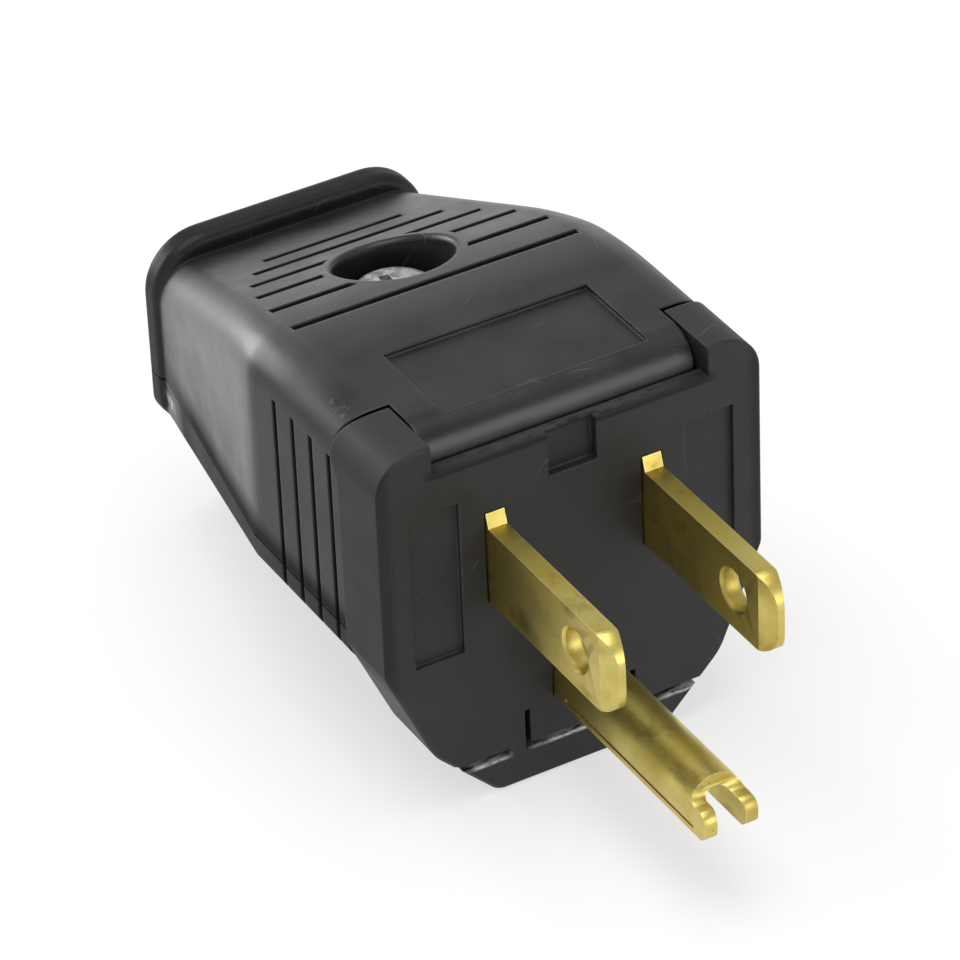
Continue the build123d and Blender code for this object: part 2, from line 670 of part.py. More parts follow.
# Ground pin: sheet folded to a hairpin, with its terminal tab turned up behind the carrier
with BuildPart() as ground_pin:
    add(ground_profile(0.0))
    extrude(amount=GROUND_REACH, dir=(0, -1, 0))
    add(ground_profile(0.0))
    extrude(amount=CARRIER_REAR, dir=(0, 1, 0))
    leg_top = GROUND_FOOT + GROUND_LEG_HEIGHT
    arch_front = -GROUND_REACH + GROUND_ARCH_SETBACK
    with BuildSketch(Plane.YZ) as pin_side:
        with BuildLine():
            Polyline(
                (-GROUND_REACH, GROUND_FOOT),
                (CARRIER_REAR, GROUND_FOOT),
                (CARRIER_REAR, GROUND_TOP),
                (arch_front, GROUND_TOP),
                (arch_front, leg_top),
                (-GROUND_REACH, leg_top),
                close=True,
            )
        make_face()
        tips = pin_side.vertices().filter_by(lambda v: abs(v.X + GROUND_REACH) < NEAR)
        fillet(tips, GROUND_LEG_ROUND)
        notch = pin_side.vertices().filter_by(lambda v: hypot(v.X - arch_front, v.Y - leg_top) < NEAR)
        fillet(notch, GROUND_NOTCH_ROUND)
    extrude(amount=GROUND_WIDTH, both=True, mode=Mode.INTERSECT)
    coin_length = GROUND_REACH - 2 * GROUND_COIN_END
    with BuildSketch(Plane.XZ.offset(GROUND_COIN_END)):
        for side in (1, -1):
            with Locations((side * GROUND_WIDTH / 2, GROUND_FOOT + GROUND_COIN_RISE)):
                Rectangle(2 * GROUND_COIN_DEPTH, GROUND_COIN_WIDTH)
    extrude(amount=coin_length, dir=(0, -1, 0), mode=Mode.SUBTRACT)
    tab_top = GROUND_TERMINAL_Z + TAB_HOLE_RADIUS + GROUND_TAB_RIM
    with BuildSketch(cross_plane(CARRIER_REAR)) as ground_tab:
        with Locations((0, (GROUND_FOOT + tab_top) / 2)):
            Rectangle(BLADE_HEIGHT, tab_top - GROUND_FOOT)
        fillet(ground_tab.vertices(), TAB_ROUND)
        with Locations((0, GROUND_TERMINAL_Z)):
            Circle(TAB_HOLE_RADIUS, mode=Mode.SUBTRACT)
    extrude(amount=BLADE_THICKNESS, dir=(0, 1, 0))
ground_pin.part.label = "ground_pin"
export_step(ground_pin.part, "parts/ground_pin.step")

# Terminal screws
line_screw = terminal_screw(-TERMINAL_X, 0)
line_screw.part.label = "line_terminal_screw"
export_step(line_screw.part, "parts/line_terminal_screw.step")

neutral_screw = terminal_screw(TERMINAL_X, 0)
neutral_screw.part.label = "neutral_terminal_screw"
export_step(neutral_screw.part, "parts/neutral_terminal_screw.step")

ground_screw = terminal_screw(0, GROUND_TERMINAL_Z)
ground_screw.part.label = "ground_terminal_screw"
export_step(ground_screw.part, "parts/ground_terminal_screw.step")

# Upper jaw: hinged cover with the screw well, the grip grooves and the upper half of the collar
with BuildPart() as upper_jaw:
    add(upper_form(0.0, JAW_REAR, ROOF_EDGE_ROUND))
    add(
        collar_half(
            [(COLLAR_HALF_WIDTH, UPPER_FLOOR), (COLLAR_HALF_WIDTH, COLLAR_TOP)],
            [(COLLAR_TOP, COLLAR_ROUND)],
            UPPER_FLOOR,
        )
    )
    add(upper_form(JAW_WALL, CAVITY_REAR, CAVITY_EDGE_ROUND), mode=Mode.SUBTRACT)
    # Screw boss, its well, its shank hole and the washer's seat
    with BuildSketch(Plane.XY.offset(UPPER_FLOOR)):
        with Locations((0, SCREW_AT)):
            Circle(WELL_RADIUS + BOSS_WALL)
    extrude(amount=roof_height(SCREW_AT + WELL_RADIUS + BOSS_WALL) - UPPER_FLOOR)
    with BuildSketch(Plane.XY.offset(WELL_FLOOR)):
        with Locations((0, SCREW_AT)):
            Circle(WELL_RADIUS)
    extrude(amount=JAW_TOP - WELL_FLOOR + OVERSHOOT, mode=Mode.SUBTRACT)
    rounds = upper_jaw.faces().filter_by(GeomType.CYLINDER)
    well_wall = rounds.filter_by(lambda f: abs(f.radius - WELL_RADIUS) < NEAR)
    fillet(well_wall.edges().sort_by(Axis.Z)[-1], WELL_ROUND)
    with BuildSketch(Plane.XY.offset(UPPER_FLOOR)):
        with Locations((0, SCREW_AT)):
            Circle(SCREW_SHANK_RADIUS + SCREW_HOLE_FIT)
    extrude(amount=WELL_FLOOR - UPPER_FLOOR, mode=Mode.SUBTRACT)
    with BuildSketch(Plane.XY.offset(UPPER_FLOOR)):
        with Locations((0, SCREW_AT)):
            Circle(WASHER_RADIUS + WASHER_FIT)
    extrude(amount=WASHER_THICKNESS + PARTING_GAP, mode=Mode.SUBTRACT)
    # Nose barrel between the ears, joined to the roof, with a stub pin at each end
    nose_half_length = EAR_INNER - HINGE_GAP
    add(round_bar(UPPER_AXIS, NOSE_RADIUS, nose_half_length))
    with BuildSketch(Plane.YZ):
        with BuildLine():
            Polyline(
                (UPPER_AXIS[0], JAW_TOP - JAW_WALL),
                (UPPER_AXIS[0], UPPER_AXIS[1] + NOSE_RADIUS),
                (UPPER_AXIS[0] + NOSE_STEP, JAW_TOP),
                (JAW_FRONT + JAW_WALL, JAW_TOP),
                (JAW_FRONT + JAW_WALL, JAW_TOP - JAW_WALL),
                close=True,
            )
        make_face()
    extrude(amount=nose_half_length, both=True)
    pin_end = EAR_INNER + UPPER_PIN_LENGTH
    add(hinge_rod(UPPER_AXIS, UPPER_PIN_RADIUS, nose_half_length - SINK, pin_end - HINGE_GAP))
    # Swing room behind the ears
    ear_swing = EAR_SWEEP + SWING_GAP
    add(hinge_rod(UPPER_AXIS, ear_swing, pin_end, BLOCK_HALF_WIDTH), mode=Mode.SUBTRACT)
    for side in (1, -1):
        with BuildSketch(side_plane(side * nose_half_length)):
            with Locations(UPPER_AXIS):
                Circle(ear_swing)
                Circle(UPPER_PIN_RADIUS, mode=Mode.SUBTRACT)
        extrude(amount=pin_end - nose_half_length, dir=(side, 0, 0), mode=Mode.SUBTRACT)
    # Bare label panel, cross grooves and side grooves
    with BuildSketch(Plane.XY.offset(JAW_TOP - LABEL_DEPTH)):
        with Locations((0, (LABEL_FRONT + LABEL_REAR) / 2)):
            Rectangle(2 * LABEL_HALF_WIDTH, LABEL_REAR - LABEL_FRONT)
    extrude(amount=LABEL_DEPTH + OVERSHOOT, mode=Mode.SUBTRACT)
    for groove in range(GROOVE_COUNT):
        at = GROOVE_FIRST + GROOVE_PITCH * groove - GROOVE_CLOSING * groove**2
        share = (groove / (GROOVE_COUNT - 1)) ** 2
        reach = GROOVE_FRONT_REACH + (GROOVE_REAR_REACH - GROOVE_FRONT_REACH) * share
        with BuildSketch(Plane.XY.offset(roof_height(at) - GROOVE_DEPTH)):
            with Locations((0, at)):
                Rectangle(2 * reach, GROOVE_WIDTH)
            with Locations((0, SCREW_AT)):
                Circle(WELL_RADIUS + WELL_RIM, mode=Mode.SUBTRACT)
        extrude(amount=GROOVE_DEPTH + OVERSHOOT, mode=Mode.SUBTRACT)
    for rib in range(RIB_COUNT):
        at = RIB_FIRST + RIB_PITCH * rib
        with BuildSketch(Plane.XY.offset(UPPER_FLOOR)):
            for side in (1, -1):
                with Locations((side * JAW_HALF_WIDTH, at)):
                    Rectangle(2 * RIB_DEPTH, RIB_WIDTH)
        extrude(amount=RIB_TOP - UPPER_FLOOR, mode=Mode.SUBTRACT)
    add(cord_throat(), mode=Mode.SUBTRACT)
upper_jaw.part.label = "upper_jaw"
export_step(upper_jaw.part, "parts/upper_jaw.step")

# Lower jaw: hinged tray with the knuckle, the nut's boss and the lower half of the collar
with BuildPart() as lower_jaw:
    add(lower_form(0.0, JAW_REAR, LOWER_RIM))
    add(
        collar_half(
            [(COLLAR_HALF_WIDTH, LOWER_RIM), (COLLAR_HALF_WIDTH, COLLAR_SHOULDER), COLLAR_FOOT],
            [(COLLAR_SHOULDER, COLLAR_SHOULDER_ROUND), (COLLAR_FOOT[1], COLLAR_FOOT_ROUND)],
            LOWER_RIM,
        )
    )
    add(lower_form(JAW_WALL, CAVITY_REAR, LOWER_RIM + OVERSHOOT), mode=Mode.SUBTRACT)
    # Nut boss with its bore and its square pocket, open below
    with BuildSketch(Plane.XY.offset(LOWER_RIM)):
        with Locations((0, SCREW_AT)):
            Circle(NUT_ACROSS / 2 + NUT_BOSS_WALL)
    extrude(amount=LOWER_RIM - CHIN_BOTTOM - JAW_WALL, dir=(0, 0, -1))
    with BuildSketch(Plane.XY.offset(LOWER_RIM)):
        with Locations((0, SCREW_AT)):
            Circle(SCREW_SHANK_RADIUS + SCREW_HOLE_FIT)
    extrude(amount=LOWER_RIM - CHIN_BOTTOM, dir=(0, 0, -1), mode=Mode.SUBTRACT)
    with BuildSketch(Plane.XY.offset(NUT_LEDGE)):
        with Locations((0, SCREW_AT)):
            Rectangle(NUT_ACROSS + 2 * NUT_FIT, NUT_ACROSS + 2 * NUT_FIT)
    extrude(amount=NUT_LEDGE - CHIN_BOTTOM, dir=(0, 0, -1), mode=Mode.SUBTRACT)
    # Swing room round the block's lugs, then the knuckle and its stub pins
    add(
        hinge_rod(LOWER_AXIS, KNUCKLE_RADIUS + SWING_GAP, KNUCKLE_HALF_WIDTH, BLOCK_HALF_WIDTH),
        mode=Mode.SUBTRACT,
    )
    add(round_bar(LOWER_AXIS, KNUCKLE_RADIUS, KNUCKLE_HALF_WIDTH))
    with BuildSketch(Plane.YZ):
        with BuildLine():
            Polyline(
                (LOWER_AXIS[0], LOWER_AXIS[1] - KNUCKLE_RADIUS),
                (JAW_FRONT + JAW_WALL, CHIN_BOTTOM),
                (JAW_FRONT + JAW_WALL, CHIN_BOTTOM + JAW_WALL),
                (LOWER_AXIS[0], CHIN_BOTTOM + JAW_WALL),
                close=True,
            )
        make_face()
    extrude(amount=KNUCKLE_HALF_WIDTH, both=True)
    add(
        hinge_rod(
            LOWER_AXIS,
            LOWER_PIN_RADIUS,
            KNUCKLE_HALF_WIDTH - SINK,
            KNUCKLE_HALF_WIDTH + LOWER_PIN_LENGTH,
        )
    )
    flank_slope = (JAW_HALF_WIDTH - LOWER_FOOT[0]) / (LOWER_SHOULDER - LOWER_FOOT[1])
    rib_foot = JAW_HALF_WIDTH - (LOWER_SHOULDER - LOWER_RIB_END) * flank_slope
    for rib in range(RIB_COUNT):
        at = RIB_FIRST + RIB_PITCH * rib
        for side in (1, -1):
            with BuildSketch(cross_plane(at - RIB_WIDTH / 2)):
                with BuildLine():
                    Polyline(
                        (side * (JAW_HALF_WIDTH - RIB_DEPTH), LOWER_RIM + SINK),
                        (side * (JAW_HALF_WIDTH + SINK), LOWER_RIM + SINK),
                        (side * (JAW_HALF_WIDTH + SINK), LOWER_SHOULDER),
                        (side * (rib_foot + SINK), LOWER_RIB_END),
                        (side * (rib_foot - RIB_DEPTH), LOWER_RIB_END),
                        (side * (JAW_HALF_WIDTH - RIB_DEPTH), LOWER_SHOULDER),
                        close=True,
                    )
                make_face()
            extrude(amount=RIB_WIDTH, dir=(0, 1, 0), mode=Mode.SUBTRACT)
    add(cord_throat(), mode=Mode.SUBTRACT)
lower_jaw.part.label = "lower_jaw"
export_step(lower_jaw.part, "parts/lower_jaw.step")

# Clamp screw, backed out of its nut by its travel, and its retaining washer and nut
with BuildPart() as clamp_screw:
    with BuildSketch(Plane.XY.offset(SCREW_SEAT)):
        with Locations((0, SCREW_AT)):
            Circle(SCREW_HEAD_RADIUS)
    extrude(amount=SCREW_HEAD_HEIGHT)
    fillet(clamp_screw.edges().filter_by(GeomType.CIRCLE).sort_by(Axis.Z)[-1], SCREW_HEAD_ROUND)
    with BuildSketch(Plane.XY.offset(SCREW_SEAT)):
        with Locations((0, SCREW_AT)):
            Circle(SCREW_SHANK_RADIUS)
    extrude(amount=SCREW_SEAT - PARTING, dir=(0, 0, -1))
    chamfer(clamp_screw.edges().filter_by(GeomType.CIRCLE).sort_by(Axis.Z)[0], SCREW_TIP)
    with BuildSketch(Plane.XY.offset(SCREW_SEAT + SCREW_HEAD_HEIGHT - SCREW_CROSS_DEPTH)):
        with Locations((0, SCREW_AT)):
            Rectangle(2 * SCREW_CROSS_REACH, SCREW_CROSS_WIDTH)
            Rectangle(SCREW_CROSS_WIDTH, 2 * SCREW_CROSS_REACH)
    extrude(amount=SCREW_HEAD_HEIGHT, mode=Mode.SUBTRACT)
clamp_screw.part.label = "clamp_screw"
export_step(clamp_screw.part, "parts/clamp_screw.step")

with BuildPart() as retaining_washer:
    with BuildSketch(Plane.XY.offset(UPPER_FLOOR + PARTING_GAP)):
        with Locations((0, SCREW_AT)):
            Circle(WASHER_RADIUS)
            Circle(SCREW_SHANK_RADIUS + WASHER_FIT, mode=Mode.SUBTRACT)
    extrude(amount=WASHER_THICKNESS)
retaining_washer.part.label = "retaining_washer"
export_step(retaining_washer.part, "parts/retaining_washer.step")

with BuildPart() as clamp_nut:
    with BuildSketch(Plane.XY.offset(NUT_LEDGE)):
        with Locations((0, SCREW_AT)):
            Rectangle(NUT_ACROSS, NUT_ACROSS)
            Circle(SCREW_SHANK_RADIUS + NUT_FIT, mode=Mode.SUBTRACT)
    extrude(amount=NUT_THICKNESS, dir=(0, 0, -1))
clamp_nut.part.label = "clamp_nut"
export_step(clamp_nut.part, "parts/clamp_nut.step")
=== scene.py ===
"""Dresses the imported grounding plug: finishes, broken edges, studio and camera."""

from __future__ import annotations

import logging
import math
from dataclasses import dataclass
from enum import Enum

import bpy
from mathutils import Matrix, Vector


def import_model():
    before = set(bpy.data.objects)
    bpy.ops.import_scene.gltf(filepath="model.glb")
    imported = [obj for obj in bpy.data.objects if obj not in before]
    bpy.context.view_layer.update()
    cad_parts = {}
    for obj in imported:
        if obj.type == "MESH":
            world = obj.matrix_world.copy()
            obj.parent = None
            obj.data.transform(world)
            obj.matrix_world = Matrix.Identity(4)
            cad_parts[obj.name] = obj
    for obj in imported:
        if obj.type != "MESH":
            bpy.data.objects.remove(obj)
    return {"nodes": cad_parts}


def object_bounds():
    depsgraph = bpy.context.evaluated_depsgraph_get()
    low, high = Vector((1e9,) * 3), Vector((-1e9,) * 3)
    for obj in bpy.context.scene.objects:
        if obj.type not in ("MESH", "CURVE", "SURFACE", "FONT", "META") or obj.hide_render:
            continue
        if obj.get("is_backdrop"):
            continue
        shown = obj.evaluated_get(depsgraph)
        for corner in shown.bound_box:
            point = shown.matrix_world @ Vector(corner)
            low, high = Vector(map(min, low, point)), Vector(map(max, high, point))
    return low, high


LOG = logging.getLogger("plug")
MM = 0.001

Colour = tuple[float, float, float]
Point = tuple[float, float, float]
Range = tuple[float, float]


def mm(x: float, y: float, z: float) -> Point:
    """Turns millimetres into metres."""
    return x * MM, y * MM, z * MM


class Side(Enum):
    """Sides of the plug, as signs along X."""

    LEFT = -1
    RIGHT = 1


@dataclass(frozen=True)
class Mottle:
    """Noise pattern on a surface.

    The scale is in cells per metre. The reach holds the noise values at which the pattern starts and is
    full, and the share is its full strength. A stretch below 1 draws the pattern out along that axis.
    """

    scale: float
    reach: Range = (0.3, 0.7)
    share: float = 1.0
    detail: float = 2.0
    rough: float = 0.5
    stretch: Point = (1, 1, 1)


@dataclass(frozen=True)
class PaintedLightZone:
    """Soft box on a moulding where light or shade is painted: its shine is taken off there for painted shade,
    and a pale colour is laid there for painted highlights.
    """

    centre: Point
    half: Point
    core: Point
    share: float
    slant: float = 0.0


@dataclass(frozen=True)
class ScuffAndGlintBox:
    """Box on a moulding with pale specks: torn plastic where handling scuffed it, and painted glints that
    stand in for light caught on a ledge or edge.
    """

    centre: Point
    half: Point
    share: float
    cover: float


class Shader:
    """Small builder round one material's node tree."""

    def __init__(self, name: str) -> None:
        """Starts an empty material with an output and a Principled shader.

        Args:
            name: the material's name.
        """
        self.material = bpy.data.materials.new(name)
        self.material.use_nodes = True
        self.tree = self.material.node_tree
        self.tree.nodes.clear()
        self.output = self.add("ShaderNodeOutputMaterial")
        self.surface = self.add("ShaderNodeBsdfPrincipled")
        self.link(self.surface, "BSDF", self.output, "Surface")
        self.place = self.add("ShaderNodeTexCoord")

    def add(self, kind: str, **values: object) -> bpy.types.Node:
        """Adds a node and sets its properties.

        Args:
            kind: the node's Blender type name.
            values: node properties by name.

        Returns:
            The new node.
        """
        node = self.tree.nodes.new(kind)
        for key, value in values.items():
            setattr(node, key, value)
        return node

    def link(self, source: bpy.types.Node, out: str | int, target: bpy.types.Node, into: str | int) -> None:
        """Links one node's output to another node's input."""
        self.tree.links.new(source.outputs[out], target.inputs[into])

    def noise(self, mottle: Mottle) -> bpy.types.Node:
        """Noise on object coordinates.

        Args:
            mottle: the pattern.

        Returns:
            The noise node.
        """
        mapping = self.add("ShaderNodeMapping")
        mapping.inputs["Scale"].default_value = mottle.stretch
        self.link(self.place, "Object", mapping, "Vector")
        noise = self.add("ShaderNodeTexNoise")
        noise.inputs["Scale"].default_value = mottle.scale
        noise.inputs["Detail"].default_value = mottle.detail
        noise.inputs["Roughness"].default_value = mottle.rough
        self.link(mapping, "Vector", noise, "Vector")
        return noise

    def band(
        self, source: bpy.types.Node, out: str, reach: Range, result: Range = (0, 1)
    ) -> bpy.types.Node:
        """Maps a value range to another, clamped.

        Args:
            source: node with the value.
            out: name of its output.
            reach: values at the start and the end.
            result: results at the start and the end.

        Returns:
            The Map Range node.
        """
        node = self.add("ShaderNodeMapRange")
        for key, value in zip(("From Min", "From Max", "To Min", "To Max"), (*reach, *result)):
            node.inputs[key].default_value = value
        self.link(source, out, node, "Value")
        return node

    def blend(
        self, factor: bpy.types.Node, first: Colour | bpy.types.Node, second: Colour
    ) -> bpy.types.Node:
        """Mixes a colour towards a second one.

        Args:
            factor: node whose first output is the share of the second colour.
            first: colour, or an earlier mix.
            second: colour at a factor of 1.

        Returns:
            The mix node; its colour is the output "Color".
        """
        node = self.add("ShaderNodeMixRGB")
        self.link(factor, 0, node, "Fac")
        if isinstance(first, bpy.types.Node):
            self.link(first, "Color", node, "Color1")
        else:
            node.inputs["Color1"].default_value = (*first, 1)
        node.inputs["Color2"].default_value = (*second, 1)
        return node

    def share(self, noise: bpy.types.Node, mottle: Mottle) -> bpy.types.Node:
        """Share of a noise pattern, as the output "Result" of the returned node."""
        return self.band(noise, "Fac", mottle.reach, (0, mottle.share))

    def shine(self, noise: bpy.types.Node, roughness: Range, reach: Range = (0.3, 0.7)) -> None:
        """Lets the surface's roughness wander between two values with a noise."""
        self.link(self.band(noise, "Fac", reach, roughness), "Result", self.surface, "Roughness")

    def product(self, first: bpy.types.Node, second: bpy.types.Node) -> bpy.types.Node:
        """Multiplies the first outputs of two nodes and returns the Math node."""
        node = self.add("ShaderNodeMath", operation="MULTIPLY")
        self.link(first, 0, node, 0)
        self.link(second, 0, node, 1)
        return node

    def larger(
        self, first: bpy.types.Node, out_first: str, second: bpy.types.Node, out_second: str
    ) -> bpy.types.Node:
        """Takes the larger of two values and returns the Math node."""
        node = self.add("ShaderNodeMath", operation="MAXIMUM")
        self.link(first, out_first, node, 0)
        self.link(second, out_second, node, 1)
        return node

    def hairlines(self, scale: float, width: float, wander: float) -> bpy.types.Node:
        """Share of thin, wandering scratch lines: 1 on a line, 0 between lines.

        Args:
            scale: lines per metre, about.
            width: line width as a share of the space between lines.
            wander: how far the lines stray, as a share of that space.

        Returns:
            The node with the share as "Result".
        """
        stray = self.noise(Mottle(2.0 * scale))
        path = self.add("ShaderNodeVectorMath", operation="MULTIPLY_ADD")
        self.link(stray, "Color", path, 0)
        path.inputs[1].default_value = (wander / scale,) * 3
        self.link(self.place, "Object", path, 2)
        cells = self.add("ShaderNodeTexVoronoi", feature="DISTANCE_TO_EDGE")
        cells.inputs["Scale"].default_value = scale
        self.link(path, "Vector", cells, "Vector")
        return self.band(cells, "Distance", (0.3 * width, width), (1, 0))

    def zone(self, centre: Point, half: Point, core: Point, slant: float = 0.0) -> bpy.types.Node:
        """Share inside a soft box in object coordinates.

        Args:
            centre: middle of the box in metres.
            half: half sizes of the box in metres.
            core: share of each half size at which the box starts to fade.
            slant: shift of the box along X for each metre along Y.

        Returns:
            The Math node with the share as "Value".
        """
        parts = self.add("ShaderNodeSeparateXYZ")
        self.link(self.place, "Object", parts, "Vector")
        upright = self.add("ShaderNodeMath", operation="MULTIPLY_ADD")
        self.link(parts, "Y", upright, 0)
        upright.inputs[1].default_value = -slant
        self.link(parts, "X", upright, 2)
        sources = ((upright, "Value"), (parts, "Y"), (parts, "Z"))
        middles = (centre[0] - slant * centre[1], centre[1], centre[2])
        inside: bpy.types.Node | None = None
        for (source, output), middle, reach, full in zip(sources, middles, half, core):
            away = self.add("ShaderNodeMath", operation="SUBTRACT")
            self.link(source, output, away, 0)
            away.inputs[1].default_value = middle
            distance = self.add("ShaderNodeMath", operation="ABSOLUTE")
            self.link(away, "Value", distance, 0)
            near = self.band(distance, "Value", (full * reach, reach), (1, 0))
            inside = near if inside is None else self.product(inside, near)
        return inside

    def soft_edge(self, radius: float) -> bpy.types.Node:
        """Normal that turns gently round every edge, as the output "Normal"."""
        soft = self.add("ShaderNodeBevel", samples=8)
        soft.inputs["Radius"].default_value = radius
        return soft

    def worn_edge(self, soft: bpy.types.Node, turns: Range) -> bpy.types.Node:
        """Share of edge wear: 0 on flats, 1 on sharp corners.

        Args:
            soft: node of soft_edge, which sets the reach of the wear.
            turns: turns of the normal at which wear starts and is full.

        Returns:
            The node with the share as "Result".
        """
        plain = self.add("ShaderNodeNewGeometry")
        turn = self.add("ShaderNodeVectorMath", operation="DOT_PRODUCT")
        self.link(soft, "Normal", turn, 0)
        self.link(plain, "Normal", turn, 1)
        return self.band(turn, "Value", (1 - turns[0], 1 - turns[1]))

    def dull(self, painted_zones: tuple[PaintedLightZone, ...], colour: Colour) -> None:
        """Paints shade on some parts of the surface by taking their shine off.

        Args:
            painted_zones: the parts of painted shade, each with the share of the shine that it loses.
            colour: matt colour that is left.
        """
        matt = self.add("ShaderNodeBsdfDiffuse")
        matt.inputs["Color"].default_value = (*colour, 1)
        mix = self.add("ShaderNodeMixShader")
        most: bpy.types.Node | None = None
        for painted_zone in painted_zones:
            amount = self.add("ShaderNodeMath", operation="MULTIPLY")
            self.link(self.zone(painted_zone.centre, painted_zone.half, painted_zone.core, painted_zone.slant), "Value", amount, 0)
            amount.inputs[1].default_value = painted_zone.share
            most = amount if most is None else self.larger(most, "Value", amount, "Value")
        self.link(most, "Value", mix, "Fac")
        self.link(self.surface, "BSDF", mix, 1)
        self.link(matt, "BSDF", mix, 2)
        self.link(mix, "Shader", self.output, "Surface")

    def bump(
        self,
        height: bpy.types.Node,
        out: str,
        strength: float,
        depth: float,
        below: bpy.types.Node | None = None,
    ) -> bpy.types.Node:
        """Bump from a height value, stacked on an earlier normal.

        Args:
            height: node with the height.
            out: name of its output.
            strength: share of the bump that shows.
            depth: height of the bump in metres.
            below: node whose "Normal" is bent further.

        Returns:
            The bump node.
        """
        node = self.add("ShaderNodeBump")
        node.inputs["Strength"].default_value = strength
        node.inputs["Distance"].default_value = depth
        self.link(height, out, node, "Height")
        if below is not None:
            self.link(below, "Normal", node, "Normal")
        return node


@dataclass(frozen=True)
class MouldedPlastic:
    """Satin black moulding with fine grain, dust, hairline scratches, rubbed edges and scuffs, and with
    painted shade, painted highlights and painted glints in given boxes.
    """

    name: str
    # pale specks: real scuffs, and painted glints of reflected light
    scuffs_and_glints: tuple[ScuffAndGlintBox, ...] = ()
    # painted shade: boxes whose shine is taken off so that they read darker
    painted_shade: tuple[PaintedLightZone, ...] = ()
    # painted highlights: boxes where a pale colour stands in for reflected light
    painted_highlights: tuple[PaintedLightZone, ...] = ()
    colour: Colour = (0.013, 0.013, 0.0145)
    light_patch: Colour = (0.020, 0.020, 0.022)
    dust: Colour = (0.11, 0.11, 0.115)
    scratch: Colour = (0.09, 0.09, 0.09)
    rubbed: Colour = (0.075, 0.075, 0.08)
    # pale colour of torn plastic and of the painted glints
    torn_and_glint: Colour = (0.58, 0.58, 0.59)
    # pale colour of the painted highlights, standing in for reflected light
    painted_highlight: Colour = (0.20, 0.195, 0.205)
    specular: float = 0.32
    roughness: Range = (0.29, 0.42)
    edge_reach: float = 0.26 * MM
    wear_turns: Range = (0.04, 0.35)
    wear_reach: Range = (0.42, 0.66)
    wear_shares: Range = (0.1, 0.8)
    patches: Mottle = Mottle(260.0, (0.35, 0.7), detail=4.0)
    motes: Mottle = Mottle(8200.0, (0.68, 0.76), share=0.7, rough=0.6)
    highlight_reach: Range = (0.2, 0.7)
    highlight_floor: float = 0.85
    scratched: Mottle = Mottle(300.0, (0.58, 0.66), share=0.6)
    scratch_scale: float = 70.0
    scratch_width: float = 0.0035
    scratch_wander: float = 0.25
    pale_specks: Mottle = Mottle(1900.0, detail=4.0, rough=0.7, stretch=(0.3, 1.0, 1.0))
    pale_mark_core: Point = (0.4, 0.4, 0.4)
    pale_mark_start: float = 0.62
    pale_mark_gain: float = 0.3
    pale_mark_fade: float = 0.16
    pores: Mottle = Mottle(5200.0)
    relief: float = 0.3
    relief_depth: float = 0.02 * MM

    def material(self) -> bpy.types.Material:
        """Builds the material and returns it."""
        shader = Shader(self.name)
        shader.surface.inputs["Specular IOR Level"].default_value = self.specular
        # painted shade: the shine is taken off in the given boxes
        if self.painted_shade:
            shader.dull(self.painted_shade, self.colour)
        soft = shader.soft_edge(self.edge_reach)
        patches = shader.noise(self.patches)
        colour = shader.blend(shader.share(patches, self.patches), self.colour, self.light_patch)
        # painted highlights in the given boxes
        colour = self.with_painted_highlights(shader, patches, colour)
        motes = shader.noise(self.motes)
        colour = shader.blend(shader.share(motes, self.motes), colour, self.dust)
        lines = self.scratches(shader)
        colour = shader.blend(lines, colour, self.scratch)
        worn = shader.worn_edge(soft, self.wear_turns)
        uneven = shader.band(patches, "Fac", self.wear_reach, self.wear_shares)
        colour = shader.blend(shader.product(worn, uneven), colour, self.rubbed)
        # torn scuffs and painted glints in the given boxes
        colour = self.with_scuffs_and_glints(shader, colour)
        shader.link(colour, "Color", shader.surface, "Base Color")
        shader.shine(patches, self.roughness)
        grain = shader.bump(shader.noise(self.pores), "Fac", self.relief, self.relief_depth, soft)
        scored = shader.bump(lines, "Value", self.relief, self.relief_depth, grain)
        shader.link(scored, "Normal", shader.surface, "Normal")
        return shader.material

    def with_painted_highlights(self, shader: Shader, patches: bpy.types.Node, colour: bpy.types.Node) -> bpy.types.Node:
        """Lays the painted highlights over a colour: pale patches that stand in for light reflected off the
        moulding.

        Args:
            shader: the material's builder.
            patches: noise that makes the painted highlight uneven.
            colour: mix below the painted highlights.

        Returns:
            The last mix node.
        """
        for painted_highlight in self.painted_highlights:
            box = shader.zone(painted_highlight.centre, painted_highlight.half, painted_highlight.core, painted_highlight.slant)
            shares = (self.highlight_floor * painted_highlight.share, painted_highlight.share)
            uneven = shader.band(patches, "Fac", self.highlight_reach, shares)
            colour = shader.blend(shader.product(box, uneven), colour, self.painted_highlight)
        return colour

    def scratches(self, shader: Shader) -> bpy.types.Node:
        """Hairline scratches in scattered places, as the output "Value" of the returned node."""
        places = shader.noise(self.scratched)
        lines = shader.hairlines(self.scratch_scale, self.scratch_width, self.scratch_wander)
        return shader.product(lines, shader.share(places, self.scratched))

    def with_scuffs_and_glints(self, shader: Shader, colour: bpy.types.Node) -> bpy.types.Node:
        """Lays the pale specks over a colour: torn scuffs, and painted glints of reflected light.

        Args:
            shader: the material's builder.
            colour: mix below the scuffs.

        Returns:
            The last mix node.
        """
        pale_specks = shader.noise(self.pale_specks)
        for pale_mark in self.scuffs_and_glints:
            start = self.pale_mark_start - self.pale_mark_gain * pale_mark.cover
            box = shader.zone(pale_mark.centre, pale_mark.half, self.pale_mark_core)
            torn_and_glint = shader.band(pale_specks, "Fac", (start, start + self.pale_mark_fade), (0, pale_mark.share))
            colour = shader.blend(shader.product(box, torn_and_glint), colour, self.torn_and_glint)
        return colour


